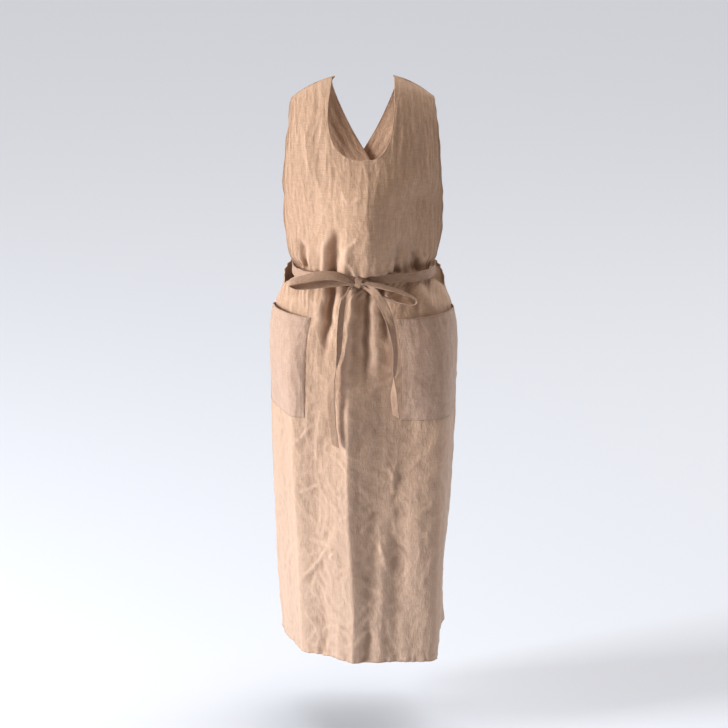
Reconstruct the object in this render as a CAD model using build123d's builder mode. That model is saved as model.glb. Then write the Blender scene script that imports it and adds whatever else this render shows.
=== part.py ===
"""Linen smock apron with a cross back, hanging in its worn shape.

The origin is the middle of the shoulder line, where the apron rests on its wearer: the highest
cloth beside the neck is at z = 0. +Z is up, the front faces -Y, and +X is the wearer's left.
Cloth panels are thin shells. Every level of the skirt is one ring round the body, and a place on
a ring is a number u: 0 at the pressed crease down the middle of the front, 1 and -1 at the side
seams, 2 and -2 at the middle of the back.
"""

import os
from math import atan2, cos, degrees, hypot, pi, sin

from build123d import *

# Driving dimensions, in millimetres
LENGTH = 1180.0  # shoulder rest to bottom hem
CLOTH = 1.2  # shell thickness of one panel
GAP = 1.2  # space left between two layers that are sewn together
WAIST_Z = -385.0  # middle of the waist tie
TIE_WIDTH = 20.0
TIE_THICKNESS = 1.4
SIDE_NOTCH_Z = -425.0  # bottom of the arm opening, where the side seams start
STRAP_WIDTH = 76.0
SHOULDER_Y = 12.0  # the shoulder seam lies a little behind the origin
HEM_HEIGHT = 15.0
POCKET_TOP_Z = -462.0
POCKET_BOTTOM_Z = -668.0
POCKET_MOUTH_GAP = 17.0  # how far the pocket's mouth stands off the skirt
OVAL_POWER = 2.4  # roundness of the tie's path: 2 is an ellipse, more is boxier
BACK_OVERLAP = 0.24  # how far each back panel runs past the middle of the back, in u
LAYER_STEP = 5.0  # the outer back panel stands this much outside the inner one

# The places on a ring that its outline is given at: the middle of the back, the back's corner, the
# right side seam, the right crease, the middle crease, the left crease, the left side seam, and so on
PLACES = [-2.0, -1.5, -1.0, -0.5, 0.0, 0.55, 1.0, 1.5, 2.0]
# The outline of the skirt at each level, as x and y at those places
RINGS = {
    -375.0: [(0, 104), (-118, 88), (-157, 4), (-112, -82), (-20, -98), (108, -84), (157, -4), (118, 88), (0, 104)],
    -425.0: [(0, 110), (-122, 95), (-161, 6), (-116, -86), (-24, -111), (113, -91), (161, -6), (122, 94), (0, 110)],
    -462.0: [(0, 120), (-130, 104), (-176, 10), (-127, -93), (-28, -124), (128, -100), (175, -4), (132, 104), (0, 120)],
    -560.0: [(0, 133), (-140, 114), (-187, 15), (-140, -94), (-32, -137), (146, -108), (184, 10), (142, 112), (0, 133)],
    -800.0: [(0, 137), (-140, 118), (-186, 25), (-136, -88), (-34, -141), (146, -118), (180, 20), (146, 116), (0, 137)],
    -1000.0: [(0, 136), (-138, 122), (-176, 32), (-126, -80), (-28, -140), (141, -124), (165, 20), (148, 118), (0, 136)],
    -LENGTH: [(6, 134), (-130, 126), (-166, 42), (-119, -72), (-24, -136), (134, -129), (148, 10), (156, 116), (6, 134)],
}
# The bib's middle line from the shoulder down: y, z, half width, how far its sides lie back, and
# the power that shapes them, where 1 is a straight slope from the crease and more is rounder
BIB_LINE = [
    (SHOULDER_Y, 8.0, 140.0, 48.0, 2.4),
    (-28.0, -10.0, 142.0, 46.0, 2.4),
    (-62.0, -50.0, 146.0, 48.0, 2.4),
    (-84.0, -96.0, 151.0, 52.0, 2.3),
    (-101.0, -143.0, 155.0, 62.0, 2.1),
    (-118.0, -187.0, 158.0, 76.0, 1.9),
    (-128.0, -235.0, 158.0, 88.0, 1.8),
    (-127.0, -300.0, 155.0, 90.0, 1.9),
    (-113.0, -350.0, 148.0, 80.0, 2.2),
    (-98.0, -375.0, 134.0, 70.0, 2.6),
    (-98.0, -395.0, 134.0, 70.0, 2.6),
]
BIB_CREASE_X = 6.0  # the bib's pressed crease stands a little to the left of its middle
BIB_MIDDLE_X = -2.0
# The scooped neckline seen from the front: x and z from the wearer's right shoulder to the left
NECKLINE = [(-59, 30), (-64, -2), (-70, -42), (-71, -76), (-63, -108), (-46, -131), (-22, -142)]
NECKLINE += [(2, -143), (25, -140), (43, -123), (55, -93), (60, -50), (60, -2), (57, 30)]
SKIRT_LEVELS = [-425.0, -462.0, -497.0, -531.0, -565.0, -600.0, -635.0, -668.0, -735.0, -800.0]
SKIRT_LEVELS += [-900.0, -1000.0, -1090.0, -LENGTH + HEM_HEIGHT, -LENGTH]
POINTS = 15  # points across a panel at each level

nodes = []


def keep(builder, name):
    """Labels a finished part and keeps it for export."""
    builder.part.label = name
    nodes.append(builder.part)


def hermite(knots, values, t):
    """The value at t on a smooth line through the values at the knots."""
    i = 0
    while i < len(knots) - 2 and t > knots[i + 1]:
        i += 1
    span = knots[i + 1] - knots[i]
    before, after = max(i - 1, 0), min(i + 2, len(knots) - 1)
    slope_start = (values[i + 1] - values[before]) / (knots[i + 1] - knots[before]) * span
    slope_end = (values[after] - values[i]) / (knots[after] - knots[i]) * span
    w = (t - knots[i]) / span
    return (
        (2 * w**3 - 3 * w**2 + 1) * values[i]
        + (w**3 - 2 * w**2 + w) * slope_start
        + (3 * w**2 - 2 * w**3) * values[i + 1]
        + (w**3 - w**2) * slope_end
    )


def outline(z):
    """The skirt's outline at level z, smooth between the levels that are given."""
    levels = [-level for level in RINGS]
    rows = list(RINGS.values())
    return [
        tuple(hermite(levels, [row[place][k] for row in rows], -z) for k in (0, 1))
        for place in range(len(PLACES))
    ]


def ring_point(ring, u):
    """The point at u on an outline, which closes on itself at the middle of the back."""
    u = (u + 2) % 4 - 2
    knots = [PLACES[-2] - 4] + PLACES + [PLACES[1] + 4]
    points = [ring[-2]] + ring + [ring[1]]
    return tuple(hermite(knots, [point[k] for point in points], u) for k in (0, 1))


def oval_point(size, u):
    """The point at u on an oval of that half width, front depth and back depth."""
    half_width, front, back = size
    angle = abs(u) * pi / 2
    x = half_width * abs(sin(angle)) ** (2 / OVAL_POWER)
    y = (front if abs(u) <= 1 else back) * abs(cos(angle)) ** (2 / OVAL_POWER)
    return (x if u >= 0 else -x), (-y if abs(u) <= 1 else y)


def ring_points(ring, u_start, u_end, count=POINTS):
    """Points evenly spaced along a stretch of an outline."""
    return [ring_point(ring, u_start + (u_end - u_start) * i / (count - 1)) for i in range(count)]


def outward(points, distance):
    """The points moved away from the inside of the curve, each by its own distance."""
    moved = []
    for i, (x, y) in enumerate(points):
        before, after = points[max(i - 1, 0)], points[min(i + 1, len(points) - 1)]
        dx, dy = after[0] - before[0], after[1] - before[1]
        length = hypot(dx, dy)
        moved.append((x + dy / length * distance[i], y - dx / length * distance[i]))
    return moved


def strip(plane, points, offset=0.0, thickness=CLOTH):
    """A thin face along a curve, its inner side at offset outside the points. Offset may vary."""
    offsets = offset if isinstance(offset, list) else [offset] * len(points)
    inner = outward(points, offsets)
    outer = outward(points, [value + thickness for value in offsets])
    with BuildSketch(plane) as thin:
        with BuildLine():
            Spline(*inner)
            Line(inner[-1], outer[-1])
            Spline(*outer)
            Line(outer[0], inner[0])
        make_face()
    return thin.sketch.face()


def bib_section(line, share_from=-1.0, share_to=1.0, offset=0.0, thickness=CLOTH):
    """One section across the bib, in the plane square to the bib's middle line."""
    index = BIB_LINE.index(line)
    y, z, half_width, lie_back, power = line
    before, after = BIB_LINE[max(index - 1, 0)], BIB_LINE[min(index + 1, len(BIB_LINE) - 1)]
    if index == 0:
        upward = (0, 1, 0)
    elif z < -280:
        upward = (0, 0, 1)
    else:
        upward = (0, before[0] - after[0], before[1] - after[1])
    plane = Plane(origin=(0, y, z), x_dir=(1, 0, 0), z_dir=upward)
    points = []
    for i in range(POINTS):
        share = share_from + (share_to - share_from) * i / (POINTS - 1)
        share = sin(share * pi / 2)
        middle = BIB_CREASE_X + (BIB_MIDDLE_X - BIB_CREASE_X) * abs(share)
        points.append((middle + half_width * share, lie_back * abs(share) ** power))
    return strip(plane, points, offset, thickness)


def skirt_section(z, u_start, u_end, offset=0.0, thickness=CLOTH):
    """One level section of the skirt."""
    points = ring_points(outline(z), u_start, u_end)
    return strip(Plane.XY.offset(z), points, offset, thickness)


def neckline(wider=0.0):
    """The scooped neckline as a face standing behind the shoulder seam, so much wider all round."""
    points = outward(NECKLINE, [wider] * len(NECKLINE))
    with BuildSketch(Plane.XZ.offset(-SHOULDER_Y - 8)) as scoop:
        with BuildLine():
            Spline(*points)
            Line(points[-1], points[0])
        make_face()
    return scoop.sketch.face()


# Front panel: bib and front skirt, one cut piece of cloth
with BuildPart() as front_panel:
    bib = [bib_section(line) for line in BIB_LINE]
    skirt = [skirt_section(z, -1, 1) for z in SKIRT_LEVELS]
    loft(bib + skirt)
    extrude(neckline(), amount=300, mode=Mode.SUBTRACT)
keep(front_panel, "front_panel")

# Neckline hem: the turned edge inside the scoop, down from the shoulders
NECK_HEM = 9.0
with BuildPart() as neck_hem:
    loft([bib_section(line, -0.62, 0.62, offset=-GAP - CLOTH) for line in BIB_LINE[:7]])
    extrude(neckline(wider=NECK_HEM), amount=300, mode=Mode.INTERSECT)
    extrude(neckline(), amount=300, mode=Mode.SUBTRACT)
keep(neck_hem, "neck_hem")

# Arm opening hems: the turned side edges of the bib, shoulder to waist
ARM_HEM_SHARE = 0.93
for side, sign in (("left", 1), ("right", -1)):
    with BuildPart() as arm_hem:
        edges = sorted((sign * ARM_HEM_SHARE, sign * 1.0))
        loft([bib_section(line, *edges, offset=-1.5 * GAP - CLOTH) for line in BIB_LINE])
    keep(arm_hem, f"arm_hem_{side}")


def back_top(u):
    """Level of the back panel's top edge, which rises from the side to the middle of the back."""
    return WAIST_Z + 8 - 42 * cos(min(abs(abs(u) - 1), 0.5) * pi) ** 2


# Back panels: they wrap past each other, the wearer's right one outside
BACK_LEVELS = [-375.0, -400.0] + SKIRT_LEVELS
for side, sign, layer in (("left", 1, 0.0), ("right", -1, LAYER_STEP)):
    u_seam = sign * 1.01
    u_end = sign * (2 + BACK_OVERLAP)
    u_start, u_stop = sorted((u_seam, u_end))
    shares = [i / (POINTS - 1) for i in range(POINTS)][::sign]
    offsets = [layer * min(1.0, 2 * share) for share in shares]
    with BuildPart() as back_skirt:
        loft([skirt_section(z, u_start, u_stop, offset=offsets) for z in BACK_LEVELS])
        with BuildSketch(Plane.YZ.offset(sign * 60)):
            with BuildLine():
                Polyline((-60, -360), (-60, SIDE_NOTCH_Z), (0, SIDE_NOTCH_Z))
                Spline((0, SIDE_NOTCH_Z), (45, -405), (95, -380))
                Polyline((95, -380), (140, -379), (140, -360), (-60, -360))
            make_face()
        extrude(amount=sign * 160, mode=Mode.SUBTRACT)
    keep(back_skirt, f"back_skirt_{side}")

# Bottom hems, turned to the inside
for name, u_from, u_to, layer in (
    ("front_hem", -1, 1, 0.0),
    ("back_hem_left", 1.02, 2 + BACK_OVERLAP, 0.0),
    ("back_hem_right", -2 - BACK_OVERLAP, -1.02, LAYER_STEP),
):
    shares = [1 - i / (POINTS - 1) for i in range(POINTS)]
    offsets = [layer * min(1.0, 2 * share) - GAP - CLOTH for share in shares]
    with BuildPart() as hem:
        levels = (-LENGTH + HEM_HEIGHT, -LENGTH)
        loft([skirt_section(z, u_from, u_to, offset=offsets) for z in levels])
    keep(hem, name)

# Side seams: the felled allowance inside each side
for side, sign in (("left", 1), ("right", -1)):
    u_span = (sign - 0.022, sign + 0.022)
    levels = SKIRT_LEVELS[:-2] + [-LENGTH + HEM_HEIGHT + GAP]
    with BuildPart() as side_seam:
        loft([skirt_section(z, *u_span, offset=-3 * GAP - CLOTH) for z in levels])
    keep(side_seam, f"side_seam_{side}")

# Patch pockets, one on each side of the skirt, sewn down at the sides and the bottom
POCKET_LEVELS = [z for z in SKIRT_LEVELS if POCKET_BOTTOM_Z <= z <= POCKET_TOP_Z]
POCKET_INNER_U = {"left": 0.31, "right": 0.37}
POCKET_OUTER_U = 0.985


def pocket_gap(z, share):
    """How far the pocket stands off the skirt: most in the middle of its mouth."""
    open_share = (z - POCKET_BOTTOM_Z) / (POCKET_TOP_Z - POCKET_BOTTOM_Z)
    return CLOTH + GAP + POCKET_MOUTH_GAP * open_share**0.8 * sin(pi * share) ** 0.8


for side, sign in (("left", 1), ("right", -1)):
    u_from, u_to = sorted((sign * POCKET_INNER_U[side], sign * POCKET_OUTER_U))
    shares = [i / (POINTS - 1) for i in range(POINTS)]
    with BuildPart() as pocket:
        sections = []
        for z in POCKET_LEVELS:
            gaps = [pocket_gap(z, share) for share in shares]
            sections.append(skirt_section(z, u_from, u_to, offset=gaps))
        loft(sections)
    keep(pocket, f"pocket_{side}")
    # The pocket's turned top edge, inside the mouth
    hem_from = u_from + 0.2 * (u_to - u_from)
    hem_to = u_to - 0.2 * (u_to - u_from)
    hem_shares = [0.2 + 0.6 * share for share in shares]
    with BuildPart() as pocket_hem:
        sections = []
        for z in (POCKET_TOP_Z, POCKET_TOP_Z - 10, POCKET_TOP_Z - 20):
            inside = [pocket_gap(z, share) - GAP - CLOTH for share in hem_shares]
            sections.append(skirt_section(z, hem_from, hem_to, offset=inside))
        loft(sections)
    keep(pocket_hem, f"pocket_hem_{side}")

TACK_STAND_OFF = 9.2  # from the ring to the middle of a tack

# Bar tacks at the four top corners of the pockets
with BuildPart() as pocket_tacks:
    ring = outline(POCKET_TOP_Z - 8)
    for side, sign in (("left", 1), ("right", -1)):
        for corner, inward in ((POCKET_INNER_U[side], 0.03), (POCKET_OUTER_U, -0.03)):
            u = sign * (corner + inward)
            near, far = ring_point(ring, u - 0.01), ring_point(ring, u + 0.01)
            heading = degrees(atan2(far[1] - near[1], far[0] - near[0]))
            middle = outward([near, ring_point(ring, u), far], [0, TACK_STAND_OFF, 0])[1]
            with Locations(Location((*middle, POCKET_TOP_Z - 8), (0, 0, heading))):
                Box(3, 1.2, 10)
keep(pocket_tacks, "pocket_tacks")


# Back straps: each runs from its shoulder across the back to the other side's back panel
STRAP_LINE = [
    # x, y and z of the middle of the wearer's left strap, then how its width leans in y and in z
    (102.0, SHOULDER_Y + 0.5, -16.0, 0.0, -0.50),
    (99.0, 45.0, -32.0, -0.05, -0.45),
    (87.0, 76.0, -76.0, -0.25, -0.28),
    (60.0, 97.0, -140.0, -0.20, -0.08),
    (20.0, 108.0, -212.0, -0.05, 0.12),
    (-22.0, 113.0, -285.0, 0.08, 0.22),
    (-51.0, 116.5, -345.0, 0.14, 0.12),
    (-62.0, 116.5, -392.0, 0.16, 0.0),
]


def strap_planes(sign, layer):
    """The planes square to a strap's line, which runs layer millimetres further out."""
    planes = []
    for i, (x, y, z, lean_y, lean_z) in enumerate(STRAP_LINE):
        before = STRAP_LINE[max(i - 1, 0)]
        after = STRAP_LINE[min(i + 1, len(STRAP_LINE) - 1)]
        along = Vector(*(after[k] - before[k] for k in range(3)))
        if i == 0:
            along = Vector(0, 1, 0)
        across = Vector(1, lean_y, lean_z)
        across = (across - along * (across.dot(along) / along.dot(along))).normalized()
        along = Vector(along.X * sign, along.Y, along.Z)
        across = Vector(across.X, across.Y * sign, across.Z * sign)
        lift = layer * min(1.0, i / 2, (len(STRAP_LINE) - 1 - i) / 2)
        planes.append(Plane(origin=(x * sign, y + lift, z), x_dir=across, z_dir=along))
    return planes


def strap_sections(planes):
    """Thin sections of a strap, one on each plane."""
    sections = []
    for plane in planes:
        with BuildSketch(plane) as section:
            Rectangle(STRAP_WIDTH, CLOTH)
        sections.append(section.sketch.face())
    return sections


strap_ends = []
for side, sign, layer in (("left", 1, 6.0), ("right", -1, 0.0)):
    planes = strap_planes(sign, layer)
    with BuildPart() as back_strap:
        loft(strap_sections(planes))
    keep(back_strap, f"back_strap_{side}")
    strap_ends.append(planes[-1])

# Shoulder seams under the joint between the front panel and each strap
SEAM_WIDTH = 8.0
with BuildPart() as shoulder_seams:
    for sign in (1, -1):
        slope = Location((sign * 102, SHOULDER_Y + 1, -21.5), (0, sign * 26.5, 0))
        with Locations(slope):
            Box(STRAP_WIDTH - 6, SEAM_WIDTH, CLOTH)
keep(shoulder_seams, "shoulder_seams")

# Strap end tacks: the box stitching where each strap meets its back panel
with BuildPart() as strap_tacks:
    for end in strap_ends:
        with BuildSketch(end.offset(-14)):
            with Locations((0, 3 * CLOTH * (1 if end.y_dir.Y > 0 else -1))):
                Rectangle(STRAP_WIDTH - 16, CLOTH)
        extrude(amount=8)
keep(strap_tacks, "strap_tacks")

# Waist tie: each half runs from the knot round the front and in through the arm opening,
# then inside the back panels to where it is sewn near the middle of the back
TIE_SIZE = (143.0, 101.5, 90.0)
TIE_START_U = 0.11
for side, sign in (("left", 1), ("right", -1)):
    with BuildPart() as waist_tie:
        u_from, u_to = sorted((sign * TIE_START_U, sign * 1.93))
        if side == "right":
            u_to = -TIE_START_U - 0.16
        path = [oval_point(TIE_SIZE, u_from + (u_to - u_from) * i / 20) for i in range(21)]
        level = Plane.XY.offset(WAIST_Z - TIE_WIDTH / 2)
        extrude(strip(level, path, thickness=TIE_THICKNESS), amount=TIE_WIDTH)
    keep(waist_tie, f"waist_tie_{side}")

# Tie anchors: the stitched ends of the tie on the inside of the back panels
with BuildPart() as tie_anchors:
    for sign in (1, -1):
        with Locations((sign * 12, 96, WAIST_Z)):
            Box(18, 6, TIE_WIDTH - 4)
keep(tie_anchors, "tie_anchors")

# Bow knot
KNOT = (-12.0, -112.0, WAIST_Z - 2)
KNOT_SIZE = (23.0, 17.0, 26.0)
with BuildPart() as bow_knot:
    with Locations(KNOT):
        Box(*KNOT_SIZE)
    fillet(bow_knot.edges(), radius=5)
keep(bow_knot, "bow_knot")

# Bow loops: a band of tie bent back on itself, seen as a drop shape from the front
LOOP_ROOT = 4.0  # half the width of a loop where the knot grips it
LOOP_PIVOT_GAP = 4.5  # from the knot's side to the middle of a loop's root
LOOP_STAND_OFF = 7.0  # the loops lie in front of the knot's middle
LOOP_SPREAD = 26.0  # how far from the root the band reaches its full width
LOOP_LINES = {
    # x and z from the pivot: out along the upper side, round the tip, back along the lower side
    "left": [(0, 1.5), (40, 2), (78, -10), (100, -28), (106, -41), (96, -50), (66, -38), (32, -14), (0, -1.5)],
    "right": [(0, 1.5), (-38, 13), (-78, 8), (-108, -8), (-119, -22), (-110, -30), (-76, -16), (-38, -4), (0, -1.5)],
}
for side, sign in (("left", 1), ("right", -1)):
    pivot_x = KNOT[0] + sign * (KNOT_SIZE[0] / 2 + LOOP_PIVOT_GAP)
    pivot = Vector(pivot_x, KNOT[1] - LOOP_STAND_OFF, KNOT[2])
    facing = Plane(origin=pivot, x_dir=(1, 0, 0), z_dir=(0, -1, 0))
    with BuildPart() as bow_loop:
        band = strip(facing, LOOP_LINES[side], offset=-TIE_THICKNESS / 2, thickness=TIE_THICKNESS)
        extrude(band, amount=TIE_WIDTH / 2, both=True)
        with BuildSketch(Plane(origin=pivot - Vector(0, 0, 80), x_dir=(sign, 0, 0))):
            Circle(LOOP_ROOT)
            with BuildLine():
                Polyline(
                    (0, -LOOP_ROOT),
                    (LOOP_SPREAD, -TIE_WIDTH / 2),
                    (170, -TIE_WIDTH / 2),
                    (170, TIE_WIDTH / 2),
                    (LOOP_SPREAD, TIE_WIDTH / 2),
                    (0, LOOP_ROOT),
                    (0, -LOOP_ROOT),
                )
            make_face()
        extrude(amount=160, mode=Mode.INTERSECT)
    keep(bow_loop, f"bow_loop_{side}")

# Tie tails: a fixed top end below the knot, and a long free end that swings
TAIL_THICKNESS = 1.4
TAIL_WIDTH = 18.0
SWING_GAP = 1.4  # space on each side of the swing point
SWING_POINT = 2  # its index in each line
TAIL_LINES = {
    # x, y and z of the middle of the tail, from the knot down
    "left": [
        (4, -112, -404),
        (24, -127, -430),
        (44, -137, -452),
        (58, -146, -490),
        (65, -152, -560),
        (67, -154, -652),
    ],
    "right": [
        (-22, -112, -404),
        (-36, -127, -430),
        (-44, -137, -452),
        (-50, -147, -500),
        (-54, -153, -600),
        (-58, -155, -718),
    ],
}


def tail_sections(line, start, stop):
    """Sections of a tail from one point of its line to another, clear of the swing point."""
    sections = []
    for i in range(start, stop + 1):
        before, after = line[max(i - 1, 0)], line[min(i + 1, len(line) - 1)]
        along = Vector(*(after[k] - before[k] for k in range(3))).normalized()
        place = Vector(*line[i])
        if i == SWING_POINT:
            place += along * (SWING_GAP if start == SWING_POINT else -SWING_GAP)
        across = Vector(1, 0, 0)
        across = (across - along * across.dot(along)).normalized()
        with BuildSketch(Plane(origin=place, x_dir=across, z_dir=along)) as section:
            Rectangle(TAIL_WIDTH, TAIL_THICKNESS)
        sections.append(section.sketch.face())
    return sections


for side, line in TAIL_LINES.items():
    with BuildPart() as tie_end:
        loft(tail_sections(line, 0, SWING_POINT))
    keep(tie_end, f"tie_end_{side}")
    with BuildPart() as tie_tail:
        loft(tail_sections(line, SWING_POINT, len(line) - 1))
    keep(tie_tail, f"tie_tail_{side}")

os.makedirs("parts", exist_ok=True)
for part in nodes:
    export_step(part, f"parts/{part.label}.step")
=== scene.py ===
"""Linen smock apron: the visual model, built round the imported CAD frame.

Cloth is worked out in millimetres in the frame's own axes and becomes metres when a mesh is made.
A place on the front panel is (s, u): s is the length of cloth from the shoulder down its middle,
and u runs from -1 at one side edge to 1 at the other. A place on a back panel is its depth below
the shoulders and u, which goes on from 1 at the side seam to 2 at the middle of the back.
"""

import math

import bpy
import numpy as np
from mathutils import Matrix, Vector


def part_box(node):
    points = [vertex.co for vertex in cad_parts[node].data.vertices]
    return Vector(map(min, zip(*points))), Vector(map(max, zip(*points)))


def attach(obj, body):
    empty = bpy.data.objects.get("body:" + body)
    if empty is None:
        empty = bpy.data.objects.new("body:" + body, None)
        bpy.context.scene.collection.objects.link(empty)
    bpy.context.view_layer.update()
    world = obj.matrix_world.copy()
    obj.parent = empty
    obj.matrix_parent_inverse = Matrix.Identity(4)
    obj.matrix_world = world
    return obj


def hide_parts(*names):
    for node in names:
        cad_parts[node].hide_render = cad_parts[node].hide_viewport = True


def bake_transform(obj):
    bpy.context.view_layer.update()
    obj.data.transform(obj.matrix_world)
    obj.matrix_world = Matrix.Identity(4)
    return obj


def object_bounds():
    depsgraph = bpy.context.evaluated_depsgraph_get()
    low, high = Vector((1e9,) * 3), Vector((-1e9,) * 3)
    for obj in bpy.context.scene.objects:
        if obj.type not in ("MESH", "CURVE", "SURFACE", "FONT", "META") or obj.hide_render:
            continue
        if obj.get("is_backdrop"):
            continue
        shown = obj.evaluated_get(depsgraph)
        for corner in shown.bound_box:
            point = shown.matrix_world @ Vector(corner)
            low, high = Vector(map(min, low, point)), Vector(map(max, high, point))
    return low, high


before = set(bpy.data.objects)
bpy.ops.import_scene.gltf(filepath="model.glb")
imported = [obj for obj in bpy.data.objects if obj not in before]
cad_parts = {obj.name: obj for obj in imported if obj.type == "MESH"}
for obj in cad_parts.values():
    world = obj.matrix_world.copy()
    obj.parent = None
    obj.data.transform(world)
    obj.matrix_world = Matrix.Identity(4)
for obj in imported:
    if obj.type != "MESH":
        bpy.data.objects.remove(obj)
cad_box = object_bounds()

MM = 0.001
HEM_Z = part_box("front_panel")[0].z / MM
POCKET_TOP_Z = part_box("pocket_left")[1].z / MM
POCKET_BOTTOM_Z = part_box("pocket_left")[0].z / MM
WAIST_Z = (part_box("waist_tie_left")[0].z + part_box("waist_tie_left")[1].z) / 2 / MM
TIE_WIDTH = (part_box("waist_tie_left")[1].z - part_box("waist_tie_left")[0].z) / MM
STRAP_WIDTH = 76.0
SHOULDER_Y = 12.0  # where the shoulder seams lie
CLOTH = 0.7  # thickness of one layer of linen
NOTCH_Z = -425.0  # bottom of the arm openings
HEM_DEPTH = 15.0
POCKET_INNER_U = {"left": 0.31, "right": 0.37}
POCKET_OUTER_U = 0.985
FRONT_GIRTH, POCKET_GIRTH = 280.0, 240.0  # cloth round the body for each 1 of u, rounded
BACK_OVERLAP = 0.24

# The skirt's outline at each level, as x and y at these places round it. The last place is the first again
PLACES = [-2.0, -1.5, -1.0, -0.5, 0.0, 0.55, 1.0, 1.5, 2.0]
LEFT_CREASE_U, RIGHT_CREASE_U = -0.5, 0.55
RINGS = {
    -375: [(0, 104), (-118, 88), (-157, 4), (-112, -82), (-20, -98), (108, -84), (157, -4), (118, 88)],
    -425: [(0, 110), (-122, 95), (-161, 6), (-116, -86), (-24, -111), (113, -91), (161, -6), (122, 94)],
    -462: [(0, 120), (-130, 104), (-176, 10), (-127, -93), (-28, -124), (128, -100), (175, -4), (132, 104)],
    -560: [(0, 133), (-140, 114), (-187, 15), (-140, -94), (-32, -137), (146, -108), (184, 10), (142, 112)],
    -800: [(0, 137), (-140, 118), (-186, 25), (-136, -88), (-34, -141), (146, -118), (180, 20), (146, 116)],
    -1000: [(0, 136), (-138, 122), (-176, 32), (-126, -80), (-28, -140), (141, -124), (165, 20), (148, 118)],
    HEM_Z: [(6, 134), (-130, 126), (-166, 42), (-119, -72), (-24, -136), (134, -129), (148, 10), (156, 116)],
}
SKIRT_LEVELS = [NOTCH_Z, -462, -510, -560, -640, -720, -800, -900, -1000, -1090, HEM_Z]
# The bib's middle line: y, z, half width, how far the sides lie back, and the power of their curve
BIB_LINE = [
    (SHOULDER_Y, 8.0, 140.0, 48.0, 2.4),
    (-28.0, -10.0, 142.0, 46.0, 2.4),
    (-62.0, -50.0, 146.0, 48.0, 2.4),
    (-84.0, -96.0, 151.0, 52.0, 2.3),
    (-101.0, -143.0, 155.0, 62.0, 2.1),
    (-118.0, -187.0, 158.0, 76.0, 1.9),
    (-128.0, -235.0, 158.0, 88.0, 1.8),
    (-127.0, -300.0, 155.0, 90.0, 1.9),
    (-113.0, -350.0, 148.0, 80.0, 2.2),
    (-98.0, -375.0, 134.0, 70.0, 2.6),
    (-98.0, -395.0, 134.0, 70.0, 2.6),
]
BIB_CREASE_X, BIB_MIDDLE_X = 6.0, -2.0
# The neckline seen from the front, as x and z
NECKLINE = [(-59, 30), (-64, -2), (-70, -42), (-71, -76), (-63, -108), (-46, -131), (-22, -142)]
NECKLINE += [(2, -143), (25, -140), (43, -123), (55, -93), (60, -50), (60, -2), (57, 30)]


# ---------------------------------------------------------------- smooth lines, surfaces and noise


def line_weights(knots, t):
    """For each t, the four knots that a smooth line uses there, and their weights."""
    knots = np.asarray(knots, float)
    t = np.clip(np.asarray(t, float), knots[0], knots[-1])
    i = np.clip(np.searchsorted(knots, t, side="right") - 1, 0, len(knots) - 2)
    before, after = np.maximum(i - 1, 0), np.minimum(i + 2, len(knots) - 1)
    span = knots[i + 1] - knots[i]
    w = (t - knots[i]) / span
    start_slope = (w**3 - 2 * w**2 + w) * span / (knots[i + 1] - knots[before])
    end_slope = (w**3 - w**2) * span / (knots[after] - knots[i])
    index = np.stack([before, i, i + 1, after], axis=-1)
    weights = [
        -start_slope,
        2 * w**3 - 3 * w**2 + 1 - end_slope,
        3 * w**2 - 2 * w**3 + start_slope,
        end_slope,
    ]
    return index, np.stack(weights, axis=-1)


def smooth_line(knots, points, t):
    """Points at t on a smooth line through the points at the knots."""
    index, weights = line_weights(knots, t)
    return np.einsum("na,nak->nk", weights, np.asarray(points, float)[index])


class Surface:
    """A smooth sheet through a grid of points, at the rows' and the columns' own parameters."""

    def __init__(self, rows, columns, points):
        self.rows, self.columns, self.points = rows, columns, np.asarray(points, float)

    def at(self, row, column):
        row_index, row_weights = line_weights(self.rows, row)
        column_index, column_weights = line_weights(self.columns, column)
        near = self.points[row_index[:, :, None], column_index[:, None, :]]
        return np.einsum("na,nb,nabk->nk", row_weights, column_weights, near)

    def normal(self, row, column):
        step = 1.0
        down = self.at(row + step, column) - self.at(row - step, column)
        across = self.at(row, column + step / 300) - self.at(row, column - step / 300)
        return unit(np.cross(down, across))


def unit(vectors):
    return vectors / np.maximum(np.linalg.norm(vectors, axis=-1, keepdims=True), 1e-9)


def run_length(points):
    """The length run along a line of points, up to each of them."""
    return np.concatenate([[0], np.cumsum(np.linalg.norm(np.diff(points, axis=0), axis=1))])


def ease(t):
    """0 before 0, 1 after 1, and smooth between."""
    t = np.clip(t, 0.0, 1.0)
    return t * t * (3 - 2 * t)


def wave_noise(x, y, seed):
    """Smooth noise from about -1 to 1 that changes over a distance of 1."""
    rng = np.random.default_rng(seed)
    order = rng.permutation(512)
    turn = rng.random(512) * 2 * math.pi
    x0, y0 = np.floor(x).astype(int), np.floor(y).astype(int)
    fx, fy = x - x0, y - y0
    wx, wy = fx**3 * (fx * (fx * 6 - 15) + 10), fy**3 * (fy * (fy * 6 - 15) + 10)

    def corner(dx, dy):
        angle = turn[order[(order[(x0 + dx) % 512] + y0 + dy) % 512]]
        return np.cos(angle) * (fx - dx) + np.sin(angle) * (fy - dy)

    upper = corner(0, 0) + wx * (corner(1, 0) - corner(0, 0))
    lower = corner(0, 1) + wx * (corner(1, 1) - corner(0, 1))
    return 1.5 * (upper + wy * (lower - upper))


def crumple(x, y, seed):
    """Creased noise from 0 in the hollows to 1 on thin sharp ridges."""
    bend_x = x + 0.35 * wave_noise(x * 0.8, y * 0.8, seed + 11)
    bend_y = y + 0.35 * wave_noise(x * 0.8, y * 0.8, seed + 12)
    ridge = 1 - np.abs(wave_noise(bend_x, bend_y, seed))
    finer = 1 - np.abs(wave_noise(bend_x * 2.1, bend_y * 2.1, seed + 1))
    return 0.7 * ridge**2 + 0.3 * finer**2


# ---------------------------------------------------------------- the shape of the panels


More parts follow.
